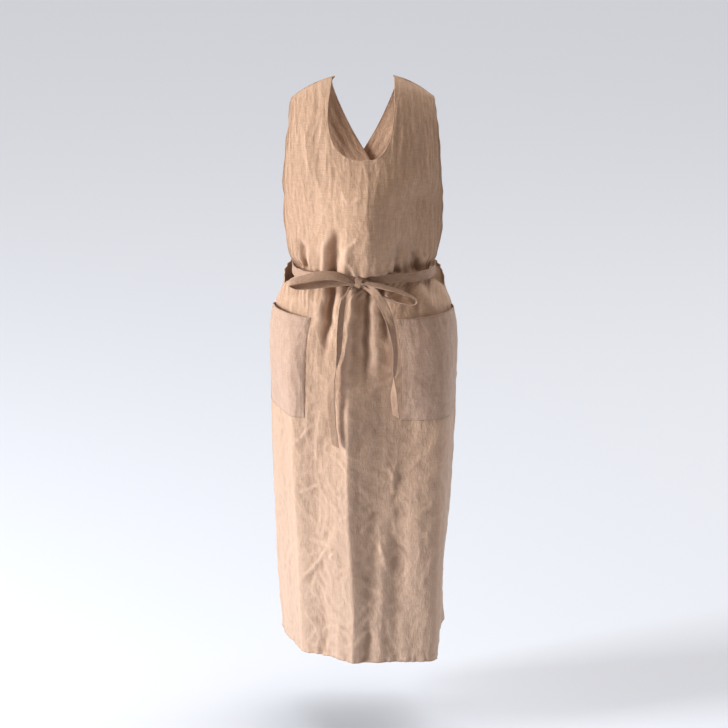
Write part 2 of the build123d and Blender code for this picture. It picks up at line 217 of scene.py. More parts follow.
def ring_row(z, places):
    """The skirt's outline at level z, at the given places round it."""
    levels = [-level for level in RINGS]
    rows = np.array([[*ring, ring[0]] for ring in RINGS.values()], float)
    index, weights = line_weights(levels, [-z])
    ring = np.einsum("a,apk->pk", weights[0], rows[index[0]])
    knots = [PLACES[-2] - 4] + PLACES + [PLACES[1] + 4]
    around = np.vstack([ring[-2], ring, ring[1]])
    places = (np.asarray(places, float) + 2) % 4 - 2
    flat = smooth_line(knots, around, places)
    return np.column_stack([flat, np.full(len(flat), z)])


def bib_row(line, places):
    """The bib's section at one point of its middle line."""
    index = BIB_LINE.index(line)
    y, z, half_width, lie_back, power = line
    before, after = BIB_LINE[max(index - 1, 0)], BIB_LINE[min(index + 1, len(BIB_LINE) - 1)]
    up_y, up_z = before[0] - after[0], before[1] - after[1]
    if index == 0:
        up_y, up_z = 1.0, 0.0
    elif z < -280:
        up_y, up_z = 0.0, 1.0
    length = math.hypot(up_y, up_z)
    share = np.sin(np.asarray(places) * math.pi / 2)
    middle = BIB_CREASE_X + (BIB_MIDDLE_X - BIB_CREASE_X) * np.abs(share)
    back = lie_back * np.abs(share) ** power
    x = middle + half_width * share
    return np.column_stack([x, y + back * up_z / length, z - back * up_y / length])


def front_surface():
    """The front panel's worn shape before its folds, and the level of its middle for each s."""
    places = np.linspace(-1, 1, 17)
    rows = [bib_row(line, places) for line in BIB_LINE]
    rows += [ring_row(z, places) for z in SKIRT_LEVELS]
    middle = np.array([row[len(places) // 2] for row in rows])
    s = run_length(middle[:, 1:])
    return Surface(s, places, rows), s, middle[:, 2]


FRONT, FRONT_S, FRONT_Z = front_surface()
FRONT_LENGTH = FRONT_S[-1]


def s_at(z):
    """The length of cloth down the front's middle to level z."""
    return np.interp(-np.asarray(z, float), -FRONT_Z, FRONT_S)


POCKET_TOP_S, POCKET_BOTTOM_S = float(s_at(POCKET_TOP_Z)), float(s_at(POCKET_BOTTOM_Z))


def half_girth(s):
    """Half of the front panel's width across the body at s."""
    samples = np.linspace(-1, 1, 41)
    stations = np.linspace(0, FRONT_LENGTH, 60)
    lengths = []
    for station in stations:
        path = FRONT.at(np.full(41, station), samples)
        lengths.append(np.linalg.norm(np.diff(path, axis=0), axis=1).sum() / 2)
    return np.interp(s, stations, lengths)


GIRTH_S = np.linspace(0, FRONT_LENGTH, 120)
GIRTH = half_girth(GIRTH_S)


def back_surface():
    """The back panels' worn shape before their folds, right round the body."""
    places = np.linspace(-2.5, 2.5, 81)
    levels = [-370, -400] + SKIRT_LEVELS
    rows = [ring_row(z, places) for z in levels]
    return Surface([-z for z in levels], places, rows)


BACK = back_surface()
BACK_HALF_GIRTH = 285.0


# ---------------------------------------------------------------- folds and wrinkles of the front


def fold(x, z, start, end, height, width, sharp, fade):
    """One fold along a line from start to end, each (x, z): a ridge, or a valley if height < 0."""
    start, end = np.array(start, float), np.array(end, float)
    along = end - start
    length = np.linalg.norm(along)
    along /= length
    dx, dz = x - start[0], z - start[1]
    t = (dx * along[0] + dz * along[1]) / length
    off = dx * along[1] - dz * along[0]
    off = off + 0.35 * width * wave_noise(t * length / 30 + start[0], off / 60, int(abs(start[1])))
    profile = 1.15 * np.exp(-np.abs(off) / (0.8 * width)) if sharp else np.exp(-((off / width) ** 2))
    return height * profile * ease(t / max(fade[0], 1e-3)) * ease((1 - t) / max(fade[1], 1e-3))


# Folds of the front in millimetres: start, end, height, width, sharp, fade at start and end
BIB_FOLDS = [
    ((-50, -262), (-62, -376), -15, 10, False, (0.45, 0.02)),
    ((-76, -280), (-76, -376), 7, 10, False, (0.5, 0.02)),
    ((-30, -285), (-38, -376), 7, 11, False, (0.5, 0.02)),
    ((-128, -305), (-118, -378), -10, 8, False, (0.4, 0.02)),
    ((-112, -300), (-104, -378), 3, 9, False, (0.5, 0.02)),
    ((-30, -308), (-6, -290), 2.5, 4, True, (0.3, 0.3)),
    ((-104, -170), (-94, -290), -2.5, 9, False, (0.3, 0.4)),
    ((-30, -335), (-12, -372), 3, 6, True, (0.3, 0.1)),
    ((58, -338), (40, -376), 3.5, 6, True, (0.4, 0.02)),
    ((72, -290), (66, -376), -7, 10, False, (0.5, 0.02)),
    ((112, -325), (108, -380), -7, 7, False, (0.4, 0.02)),
    ((126, -345), (116, -382), 4, 5, False, (0.4, 0.02)),
    ((-44, -195), (-27, -228), 1.6, 5, True, (0.3, 0.3)),
    ((-27, -226), (0, -208), 1.6, 5, True, (0.3, 0.3)),
    ((-118, -60), (-106, -200), 1.8, 6, True, (0.2, 0.5)),
    ((-96, -50), (-88, -190), -1.8, 7, False, (0.2, 0.5)),
    ((96, -50), (108, -180), 1.6, 6, True, (0.2, 0.5)),
    ((120, -70), (132, -230), 1.8, 6, True, (0.2, 0.5)),
    ((40, -200), (34, -330), -2.2, 16, False, (0.4, 0.4)),
    ((96, -210), (92, -330), 2.2, 14, False, (0.4, 0.4)),
]
SKIRT_FOLDS = [
    ((-60, -392), (-84, -560), -12, 7.5, False, (0.02, 0.6)),
    ((-74, -392), (-108, -520), 6, 11, False, (0.02, 0.6)),
    ((-44, -392), (-52, -600), 5, 9, False, (0.02, 0.5)),
    ((8, -396), (4, -600), -15, 10, True, (0.02, 0.5)),
    ((-24, -398), (-40, -640), 8, 10, False, (0.02, 0.5)),
    ((14, -398), (26, -620), 5, 12, False, (0.02, 0.5)),
    ((36, -396), (48, -520), -8, 6, False, (0.02, 0.6)),
    ((100, -396), (150, -462), 5, 8, False, (0.02, 0.5)),
    ((86, -396), (112, -470), -8, 9, False, (0.02, 0.6)),
    ((120, -398), (160, -440), -4, 6, False, (0.02, 0.5)),
    ((-100, -394), (-140, -450), 3.5, 9, False, (0.02, 0.6)),
    ((-112, -394), (-156, -440), -4, 7, False, (0.02, 0.6)),
    ((-60, -600), (-74, -760), -4, 12, False, (0.3, 0.4)),
    ((-88, -640), (-100, -775), 2.5, 7, True, (0.3, 0.3)),
    ((-100, -674), (-140, -737), 2.5, 6, True, (0.2, 0.3)),
    ((-129, -832), (-92, -808), 2.2, 5, True, (0.2, 0.2)),
    ((-119, -928), (-56, -938), 2.2, 6, True, (0.3, 0.3)),
    ((-72, -936), (-130, -1036), 3, 7, True, (0.2, 0.3)),
    ((-100, -1000), (-60, -1100), 2, 7, True, (0.3, 0.3)),
    ((-60, -860), (-84, -940), -2.5, 10, False, (0.3, 0.3)),
    ((32, -920), (51, -992), 3.2, 6, True, (0.2, 0.3)),
    ((-71, -963), (-57, -943), 2.4, 5, True, (0.3, 0.3)),
    ((-18, -1150), (10, -1104), 2.6, 6, True, (0.3, 0.3)),
    ((-116, -1080), (-90, -1150), 2.6, 6, True, (0.3, 0.3)),
    ((56, -770), (62, -830), 2.6, 6, True, (0.3, 0.3)),
    ((-92, -905), (-88, -850), 2.0, 5, True, (0.3, 0.3)),
    ((16, -872), (-8, -908), 2, 6, True, (0.3, 0.3)),
    ((48, -758), (64, -792), 2, 5, True, (0.3, 0.3)),
    ((68, -741), (56, -800), 2, 5, True, (0.3, 0.3)),
    ((62, -690), (70, -1120), -3, 18, False, (0.3, 0.3)),
    ((20, -720), (14, -1130), -3.5, 20, False, (0.3, 0.3)),
    ((100, -740), (92, -1120), 2.5, 20, False, (0.3, 0.3)),
    ((-88, -1050), (-84, -1180), -2.5, 12, False, (0.4, 0.05)),
    ((-52, -1070), (-50, -1180), 2.5, 10, False, (0.4, 0.05)),
    ((10, -1080), (6, -1180), -3, 10, False, (0.4, 0.05)),
    ((78, -1060), (80, -1180), 2.5, 12, False, (0.4, 0.05)),
]


# The skirt's middle crease, x and z, down from the knot
CREASE_LINE = np.array(
    [(-3, -470), (-18, -522), (-26, -582), (-32, -640), (-31, -700), (-33, -815)]
    + [(-30, -880), (-24, -975), (-19, -1085), (-20, -1180)],
    dtype=float,
)


def crease(off, height, width, radius=1.8):
    """A pressed crease: a sharp ridge whose flanks fall away in straight slopes."""
    slope = 1 - (np.sqrt(off**2 + radius**2) - radius) / width
    return height * np.clip(slope, 0, None) ** 1.15


def front_relief(s, u, base):
    """How far the front panel's cloth stands off its smooth shape, in millimetres."""
    x, z = base[:, 0], np.interp(s, FRONT_S, FRONT_Z)
    girth = np.interp(s, GIRTH_S, GIRTH)
    across = u * girth
    below = ease((WAIST_Z - 4 - z) / 12)
    relief = np.zeros(len(x))
    for share, folds in ((1 - below, BIB_FOLDS), (below, SKIRT_FOLDS)):
        for shape in folds:
            relief += share * fold(x, z, *shape)

    # Pressed creases: the middle one on the bib and on the skirt, and one towards each side
    bib_middle = ease((-165 - z) / 70) * ease((z - WAIST_Z + 2) / 20)
    relief += crease(across, 15.0, 90) * bib_middle
    from_middle = x - np.interp(-z, -CREASE_LINE[:, 1], CREASE_LINE[:, 0])
    relief += crease(from_middle, 9.0, 62) * ease((-520 - z) / 150)
    relief += crease(from_middle, 3.6, 20, 1.0) * ease((-560 - z) / 120)
    relief += crease(x - 34 - 2 * np.sin(z / 60), 4.0, 24, 1.0) * ease((-860 - z) / 80)
    low = ease((-470 - z) / 60)
    relief += crease(across - LEFT_CREASE_U * girth, 8.0, 55) * low
    relief -= 13.0 * np.exp(-(((across - 78) / 46) ** 2)) * bib_middle
    stops = np.array([-1.0, LEFT_CREASE_U, 0.0, RIGHT_CREASE_U, 1.0])
    facet = np.clip(np.searchsorted(stops, u, side="right") - 1, 0, 3)
    between = (u - stops[facet]) / (stops[facet + 1] - stops[facet])
    hollow = np.array([2.0, 6.0, 7.0, 3.0])[facet] * np.sin(math.pi * np.clip(between, 0, 1)) ** 1.5
    relief -= hollow * ease((-500 - z) / 120)
    relief += crease(across - RIGHT_CREASE_U * girth, 11.0, 60) * low

    # Gathers that run out of the tie, above and below it
    from_tie = z - WAIST_Z
    rise, fall = np.clip(from_tie - 8, 0, None), np.clip(-from_tie - 8, 0, None)
    pinched = np.exp(-rise / 26) * (from_tie > -8) + np.exp(-fall / 34) * (from_tie <= -8)
    seed = np.where(from_tie > 0, 0.0, 37.0)
    pleats = wave_noise(across / 9.5 + seed, z / 130 + seed, 5)
    pleats = np.sign(pleats) * np.abs(pleats) ** 0.7
    relief += 3.2 * pinched * pleats

    # The washed linen's own crinkles: long and upright on the bib, more crumpled on the skirt
    on_bib = ease((z + 390) / 60)
    upright = crumple(across / 13, z / 95, 21) - 0.45
    relief += (1.3 * on_bib + 0.7) * upright * ease((s + 5) / 30)
    crumpled = crumple(across / 46, z / 60, 33) - 0.45
    relief += (1.1 + 1.3 * (1 - on_bib)) * crumpled
    relief += 0.5 * (crumple(across / 7, z / 26, 44) - 0.45)
    pinch = crumple(across / 24, z / 62, 35) ** 2 - 0.3
    relief += (0.3 + 0.8 * (1 - on_bib)) * pinch * ease(0.4 + 1.6 * wave_noise(across / 70, z / 110, 77))
    relief += 3.5 * wave_noise(across / 85, z / 190, 52) * (0.45 + 0.55 * (1 - on_bib))

    # Puckers along the bottom hem
    to_hem = z - HEM_Z
    relief += 1.6 * wave_noise(across / 6.5, z / 40, 61) * np.exp(-to_hem / 13)

    # The tie holds the cloth down, and the side seams hold its edges
    under_tie = np.exp(-((from_tie / 11.5) ** 4))
    relief += under_tie * (np.minimum(relief, 1.0) - relief)
    to_edge = ease((1 - np.abs(u)) * girth / 16)
    relief *= np.where(z < NOTCH_Z, to_edge, 0.4 + 0.6 * to_edge)
    return relief


def neck_distance(x, z):
    """Distance in front view from the neckline, in millimetres: positive on the cloth's side."""
    knots = np.arange(len(NECKLINE))
    dense = smooth_line(knots, NECKLINE, np.linspace(0, len(NECKLINE) - 1, 400))
    start, step = dense[:-1], np.diff(dense, axis=0)
    best = np.full(len(x), 1e9)
    side = np.ones(len(x))
    for (px, pz), (dx, dz) in zip(start, step):
        t = np.clip(((x - px) * dx + (z - pz) * dz) / (dx * dx + dz * dz), 0, 1)
        off_x, off_z = x - px - t * dx, z - pz - t * dz
        distance = np.hypot(off_x, off_z)
        closer = distance < best
        best = np.where(closer, distance, best)
        side = np.where(closer, np.sign(dx * off_z - dz * off_x), side)
    return -best * side


def front_place(s, u, lift=0.0):
    """Where the front panel's outer face is at (s, u), moved out by lift, and its normal there."""
    s, u = np.asarray(s, float), np.asarray(u, float)
    base, normal = FRONT.at(s, u), FRONT.normal(s, u)
    points = base + normal * (front_relief(s, u, base) + lift)[:, None]
    bib_edge = np.abs(u) ** 6 * ease((s_at(NOTCH_Z + 30) - s) / 60) * ease(s / 60)
    points[:, 0] += 3.2 * wave_noise(s / 42, np.sign(u) * 3.3, 75) * bib_edge
    hem_wave = 2.2 * wave_noise(u * FRONT_GIRTH / 38, u * 0 + 3, 74)
    points[:, 2] += ease((s - FRONT_LENGTH + 60) / 60) * hem_wave
    return points, normal


# ---------------------------------------------------------------- meshes


def make_object(name, points, faces, uv=None, tone=None):
    """A mesh object from points in millimetres. uv is in metres of cloth; tone darkens or lightens."""
    mesh = bpy.data.meshes.new(name)
    mesh.from_pydata((np.asarray(points) * MM).tolist(), [], [list(map(int, f)) for f in faces])
    if uv is not None:
        layer = mesh.uv_layers.new(name="cloth")
        corners = np.empty(len(mesh.loops), int)
        mesh.loops.foreach_get("vertex_index", corners)
        layer.data.foreach_set("uv", (np.asarray(uv, float) * MM)[corners].ravel())
    if tone is not None:
        attribute = mesh.attributes.new("tone", "FLOAT", "POINT")
        attribute.data.foreach_set("value", np.asarray(tone, np.float32))
    mesh.shade_smooth()
    mesh.update()
    piece = bpy.data.objects.new(name, mesh)
    bpy.context.scene.collection.objects.link(piece)
    return piece


def thicken(piece, thickness):
    """Gives a sheet its thickness, with its outer face where the sheet was."""
    solidify = piece.modifiers.new("thickness", "SOLIDIFY")
    solidify.thickness = thickness * MM
    solidify.offset = -1.0
    solidify.use_even_offset = False
    depsgraph = bpy.context.evaluated_depsgraph_get()
    mesh = bpy.data.meshes.new_from_object(piece.evaluated_get(depsgraph))
    piece.modifiers.clear()
    old, piece.data = piece.data, mesh
    bpy.data.meshes.remove(old)
    mesh.name = piece.name
    return piece


def grid_faces(rows, columns):
    """Quads of a grid of points, wound so that rows going down and columns going right face out."""
    index = np.arange(rows * columns).reshape(rows, columns)
    a, b = index[:-1, :-1].ravel(), index[:-1, 1:].ravel()
    c, d = index[1:, 1:].ravel(), index[1:, :-1].ravel()
    return np.column_stack([a, d, c, b])


def clip_grid(values, faces, distance):
    """Cuts a grid along the line where distance is 0 and keeps the positive side."""
    rows, distance = [*values], list(distance)
    kept, cuts = [], {}

    def cut(i, j):
        key = (min(i, j), max(i, j))
        if key not in cuts:
            t = distance[i] / (distance[i] - distance[j])
            rows.append(values[i] * (1 - t) + values[j] * t)
            distance.append(0.0)
            cuts[key] = len(rows) - 1
        return cuts[key]

    positive = np.array(distance) > 0
    inside = positive[faces].all(axis=1)
    crossing = positive[faces].any(axis=1) & ~inside
    kept.extend(faces[inside].tolist())
    for face in faces[crossing]:
        polygon = []
        for i, j in zip(face, np.roll(face, -1)):
            if positive[i]:
                polygon.append(int(i))
            if positive[i] != positive[j]:
                polygon.append(cut(i, j))
        if len(polygon) > 2:
            kept.append(polygon)
    used = sorted({i for face in kept for i in face})
    number = {old: new for new, old in enumerate(used)}
    return np.array([rows[i] for i in used]), [[number[i] for i in face] for face in kept]


def tone_of(relief, scale=1.7):
    """Painted shade and light that follow the wrinkles, with some wear: hollows get painted shade, ridges
    are paler from wear and painted highlight.
    """
    return np.clip(relief / scale, -1, 1)


# ---------------------------------------------------------------- materials


def node(tree, kind, **settings):
    made = tree.nodes.new(kind)
    for key, value in settings.items():
        setattr(made, key, value)
    return made


def set_inputs(made, **values):
    """Sets a node's inputs by name, with _ for each space in a name."""
    for key, value in values.items():
        made.inputs[key.replace("_", " ")].default_value = value
    return made


def linen(name, base, mottle=0.10):
    """Washed plain-weave linen: uneven threads both ways, slubs, paler ridges from wear and painted
    highlight, and painted shade in the hollows.
    """
    material = bpy.data.materials.new(name)
    material.use_nodes = True
    tree = material.node_tree
    tree.nodes.clear()
    link = tree.links.new
    output = node(tree, "ShaderNodeOutputMaterial")
    shader = node(tree, "ShaderNodeBsdfPrincipled")
    link(shader.outputs["BSDF"], output.inputs["Surface"])
    set_inputs(shader, Specular_IOR_Level=0.45, Sheen_Weight=0.2, Sheen_Roughness=0.6)
    cloth_uv = node(tree, "ShaderNodeTexCoord").outputs["UV"]
    tone = node(tree, "ShaderNodeAttribute", attribute_name="tone").outputs["Fac"]

    def feed(value, socket):
        """Links an output to the socket, or gives the socket a plain number or colour."""
        if isinstance(value, bpy.types.NodeSocket):
            link(value, socket)
        else:
            socket.default_value = value

    def combine(operation, first, second):
        made = node(tree, "ShaderNodeMath", operation=operation)
        feed(first, made.inputs[0])
        feed(second, made.inputs[1])
        return made.outputs[0]

    def threads(stretch, detail, rough, seed):
        """Noise with this many grains to a metre across the cloth and along it."""
        mapping = node(tree, "ShaderNodeMapping")
        set_inputs(mapping, Scale=(*stretch, 1), Location=(seed, seed * 1.7, 0))
        link(cloth_uv, mapping.inputs["Vector"])
        texture = node(tree, "ShaderNodeTexNoise")
        set_inputs(texture, Scale=1.0, Detail=detail, Roughness=rough)
        link(mapping.outputs["Vector"], texture.inputs["Vector"])
        return texture.outputs["Fac"]

    def map_range(value, **limits):
        made = set_inputs(node(tree, "ShaderNodeMapRange"), **limits)
        link(value, made.inputs["Value"])
        return made.outputs["Result"]

    def ramp(value, low, low_colour, high, high_colour):
        made = node(tree, "ShaderNodeValToRGB")
        first, last = made.color_ramp.elements
        first.position, first.color = low, (*low_colour, 1)
        last.position, last.color = high, (*high_colour, 1)
        link(value, made.inputs["Fac"])
        return made.outputs["Color"]

    def mix(factor, first, second, blend="MIX"):
        made = node(tree, "ShaderNodeMix", data_type="RGBA", blend_type=blend)
        for key, value in (("Factor", factor), ("A", first), ("B", second)):
            feed(value, made.inputs[key])
        return made.outputs["Result"]

    def bump(height, strength, distance, under=None):
        made = set_inputs(node(tree, "ShaderNodeBump"), Strength=strength, Distance=distance)
        link(height, made.inputs["Height"])
        if under:
            link(under, made.inputs["Normal"])
        return made.outputs["Normal"]

    fibre = combine("ADD", threads((1150, 42), 2, 0.6, 1.3), threads((42, 1150), 2, 0.6, 4.1))
    slub = combine("ADD", threads((520, 55), 2, 0.6, 7.9), threads((55, 520), 2, 0.6, 9.2))
    yarn = combine("ADD", combine("MULTIPLY", fibre, 0.5), combine("MULTIPLY", slub, 0.5))
    cloud = threads((9, 7), 3, 0.55, 2.6)

    dark_yarn, pale_yarn = [v * 0.72 for v in base], [min(v * 1.2, 1) for v in base]
    weave = ramp(combine("MULTIPLY", yarn, 0.5), 0.38, dark_yarn, 0.62, pale_yarn)
    patchy = (1 - mottle, 1 - mottle * 1.25, 1 - mottle * 1.4)
    faded = mix(1.0, weave, ramp(cloud, 0.32, patchy, 0.68, (1, 1, 1)), blend="MULTIPLY")

    # Paler towards the hem, painted shade that darkens the hollows, and paler ridges that are partly wear
    # and partly painted highlight
    along = node(tree, "ShaderNodeSeparateXYZ")
    link(cloth_uv, along.inputs["Vector"])
    to_hem = map_range(along.outputs["Y"], From_Min=0.42, From_Max=1.15, To_Max=0.34)
    bleached = mix(to_hem, faded, (0.74, 0.56, 0.46, 1))
    # hollow masks the painted shade in the wrinkles' hollows
    hollow = map_range(tone, From_Min=0.0, From_Max=-1.0, To_Max=0.7)
    shaded_hollows = mix(hollow, bleached, (0.30, 0.17, 0.10, 1))
    # ridge and worn carry the paler ridges: wear and painted highlight
    ridge = map_range(tone, From_Min=0.15, From_Max=1.0, To_Max=0.40)
    worn = mix(ridge, shaded_hollows, (*[min(v * 1.2 + 0.12, 1) for v in base], 1))
    link(worn, shader.inputs["Base Color"])
    link(map_range(cloud, To_Min=0.56, To_Max=0.74), shader.inputs["Roughness"])

    crepe = bump(threads((260, 100), 5, 0.7, 5.5), 0.8, 0.0026)
    link(bump(yarn, 0.5, 0.0006, under=crepe), shader.inputs["Normal"])
    return material


LINEN = linen("washed_linen", (0.505, 0.303, 0.184))
# The pockets' linen is a darker, greyer copy of washed_linen: its lower base colour is painted shade
POCKET_LINEN_SHADED = linen("pocket_linen", (0.44, 0.268, 0.18))
# The ties' linen is a darker copy of washed_linen: its lower base colour is painted shade from the bib's
# overhang
TIE_LINEN_SHADED = linen("tie_linen", (0.39, 0.23, 0.142), mottle=0.06)
THREAD = linen("sewing_thread", (0.43, 0.30, 0.21), mottle=0.04)


def dress(piece, material, body="garment"):
    """Gives a finished piece its material and the body that it moves with."""
    piece.data.materials.clear()
    piece.data.materials.append(material)
    if body:
        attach(piece, body)
    return piece


# ---------------------------------------------------------------- front panel


def make_front_panel():
    spacing = 2.6
    s_values = np.linspace(0, FRONT_LENGTH, int(FRONT_LENGTH / spacing))
    u_values = np.linspace(-1, 1, int(2 * GIRTH.max() / spacing) // 2 * 2 + 1)
    s, u = (a.ravel() for a in np.meshgrid(s_values, u_values, indexing="ij"))
    faces = grid_faces(len(s_values), len(u_values))
    base = FRONT.at(s, u)
    distance = np.full(len(s), 50.0)
    near = s < s_at(-190)
    distance[near] = neck_distance(base[near, 0], base[near, 2])
    values, faces = clip_grid(np.column_stack([s, u]), faces, distance)
    s, u = values.T
    relief = front_relief(s, u, FRONT.at(s, u))
    points, _ = front_place(s, u)
    girth = np.interp(s, GIRTH_S, GIRTH)
    smooth_relief = front_relief_smooth(s, u)
    # The tone attribute paints shade into the wrinkles' hollows and pales their ridges, as wear and painted
    # highlight
    piece = make_object(
        "front_panel_cloth", points, faces, np.column_stack([u * girth, s]), tone_of(relief - smooth_relief)
    )
    thicken(piece, CLOTH)
    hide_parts("front_panel")
    dress(piece, LINEN)
    return piece


def front_relief_smooth(s, u):
    """The front's relief averaged over its surroundings, so that tone follows only the fine wrinkles."""
    total = 0
    offsets = [(-9, 0), (9, 0), (0, -0.035), (0, 0.035)]
    for ds, du in offsets:
        near_s, near_u = np.clip(s + ds, 0, FRONT_LENGTH), np.clip(u + du, -1, 1)
        total = total + front_relief(near_s, near_u, FRONT.at(near_s, near_u))
    return total / len(offsets)


front_cloth = make_front_panel()


def front_uv(x, z):
    """The (s, u) of the front panel's smooth shape that is seen from the front at (x, z)."""
    x, z = np.asarray(x, float), np.asarray(z, float)
    s, u = s_at(z), np.clip(x / 150, -0.95, 0.95)
    for _ in range(14):
        here, below, aside = FRONT.at(s, u), FRONT.at(s + 1, u), FRONT.at(s, u + 0.005)
        a, b = below[:, 0] - here[:, 0], (aside[:, 0] - here[:, 0]) / 0.005
        c, d = below[:, 2] - here[:, 2], (aside[:, 2] - here[:, 2]) / 0.005
        miss_x, miss_z = x - here[:, 0], z - here[:, 2]
        det = a * d - b * c
        s = np.clip(s + 0.8 * (d * miss_x - b * miss_z) / det, 0, FRONT_LENGTH)
        u = np.clip(u + 0.8 * (a * miss_z - c * miss_x) / det, -1, 1)
    return s, u


# ---------------------------------------------------------------- back panels


def back_top_depth(u):
    """Depth of the back panels' top edge at u. The edge rises from the side seams to the middle."""
    y = BACK.at(np.full(len(u), 400.0), u)[:, 1]
    return -np.interp(y, [0, 12, 30, 60, 95, 140], [NOTCH_Z, -408, -396, -387, -381, -379])


def back_relief(depth, u):
    """How far a back panel's cloth stands off its smooth shape, in millimetres."""
    around = u * BACK_HALF_GIRTH
    from_seam = ease((np.abs(u) - 1) * BACK_HALF_GIRTH / 18)
    to_hem = -HEM_Z - depth
    relief = 7.0 * wave_noise(around / 62, depth / 420, 81) * ease((depth - 380) / 160)
    relief += 3.4 * wave_noise(around / 15, depth / 120, 82) * np.exp(-(depth - 375) / 75)
    relief += 2.8 * (crumple(around / 46, depth / 66, 83) - 0.45)
    relief += 1.3 * (crumple(around / 15, depth / 60, 84) - 0.45)
    relief += 0.5 * (crumple(around / 7, depth / 24, 85) - 0.45)
    relief += 1.5 * wave_noise(around / 6.5, depth / 40, 86) * np.exp(-to_hem / 13)
    middle = (np.abs(u) - 2) * BACK_HALF_GIRTH
    relief += crease(middle + 130, 5.5, 60) * ease((depth - 480) / 80)
    return relief * from_seam


def back_place(layer):
    """A function that places (depth, u) on a back panel that stands layer millimetres outside."""

    def place(depth, u, lift=0.0):
        share = (np.abs(u) - 1.01) / (1 + BACK_OVERLAP)
        outside = layer * np.clip(2 * share, 0, 1) + lift
        base, normal = BACK.at(depth, u), BACK.normal(depth, u)
        return base + normal * (back_relief(depth, u) + outside)[:, None], normal

    return place


def columns_between(sign, inner, outer, count):
    """Values of u on one side of the middle, in rising order."""
    return np.linspace(*sorted((sign * inner, sign * outer)), count)


def patch(name, place, rows, columns, lift=0.0, girth=FRONT_GIRTH, tone=None):
    """A piece of cloth between given rows and columns of a panel. Rows may differ by column."""
    columns = np.asarray(columns, float)
    rows = np.asarray(rows, float)
    if rows.ndim == 1:
        rows = np.repeat(rows[:, None], len(columns), axis=1)
    a, b = rows.ravel(), np.tile(columns, len(rows))
    points, _ = place(a, b, lift)
    shade = np.zeros(len(a)) if tone is None else tone(a, b)
    uv = np.column_stack([b * girth, a])
    return thicken(make_object(name, points, grid_faces(*rows.shape), uv, shade), CLOTH)


def sewn_inside(name, place, rows, columns, node_name, lift=-CLOTH - 0.2):
    """A turned hem or a seam on a panel's inner face."""
    piece = patch(name, place, rows, columns, lift=lift)
    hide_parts(node_name)
    return dress(piece, LINEN)


# Painted shade in the back panels' wrinkle hollows, with paler ridges from wear and painted highlight
def back_tone(depth, u):
    smooth = sum(back_relief(depth + dd, u + du) for dd, du in ((-9, 0), (9, 0), (0, -0.03), (0, 0.03)))
    return tone_of(back_relief(depth, u) - smooth / 4, 2.2)


BACK_PLACES = {"left": back_place(0.0), "right": back_place(5.0)}
SIDES = (("left", 1), ("right", -1))
for side, sign in SIDES:
    columns = columns_between(sign, 1.0, 2 + BACK_OVERLAP, 96)
    share = np.linspace(0, 1, 200)[:, None]
    rows = back_top_depth(columns) * (1 - share) - HEM_Z * share
    piece = patch(f"back_{side}_cloth", BACK_PLACES[side], rows, columns, tone=back_tone)
    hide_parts(f"back_skirt_{side}")
    dress(piece, LINEN)

    columns = columns_between(sign, 1.02, 2 + BACK_OVERLAP, 96)
    rows = np.linspace(-HEM_Z - HEM_DEPTH, -HEM_Z - 0.3, 5)
    sewn_inside(f"back_{side}_hem", BACK_PLACES[side], rows, columns, f"back_hem_{side}")

# ---------------------------------------------------------------- hems and seams on the inside


front_rows = np.linspace(FRONT_LENGTH - HEM_DEPTH, FRONT_LENGTH - 0.3, 5)
sewn_inside("front_bottom_hem", front_place, front_rows, np.linspace(-1, 1, 200), "front_hem")
for side, sign in SIDES:
    columns = columns_between(sign, 0.965, 0.999, 5)
    rows = np.linspace(0, s_at(NOTCH_Z), 150)
    sewn_inside(f"arm_{side}_hem", front_place, rows, columns, f"arm_hem_{side}")
    columns = columns_between(sign, 0.975, 1.0, 4)
    rows = np.linspace(s_at(NOTCH_Z), FRONT_LENGTH - 16, 150)
    sewn_inside(f"side_{side}_seam", front_place, rows, columns, f"side_seam_{side}", lift=-CLOTH - 1.2)

neck_ends = (0.45, len(NECKLINE) - 1.45)
NECK_LINE = smooth_line(np.arange(len(NECKLINE)), NECKLINE, np.linspace(*neck_ends, 190))
neck_turn = np.gradient(NECK_LINE, axis=0)
INTO_CLOTH = unit(np.column_stack([neck_turn[:, 1], -neck_turn[:, 0]]))


def neck_place(inset, lift=0.0):
    """Points along the neckline, inset millimetres into the cloth."""
    shifted = NECK_LINE + INTO_CLOTH * inset
    return front_place(*front_uv(shifted[:, 0], shifted[:, 1]), lift)


neck_points = np.concatenate([neck_place(inset, -CLOTH - 0.15)[0] for inset in (0.3, 3.0, 6.0, 9.0)])
neck_faces = grid_faces(4, len(NECK_LINE))
no_tone = np.zeros(len(neck_points))
neck_hem = make_object("neck_turned_hem", neck_points, neck_faces, neck_points[:, [0, 2]], no_tone)
thicken(neck_hem, CLOTH)
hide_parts("neck_hem")
dress(neck_hem, LINEN)


# ---------------------------------------------------------------- rolled edges and stitching


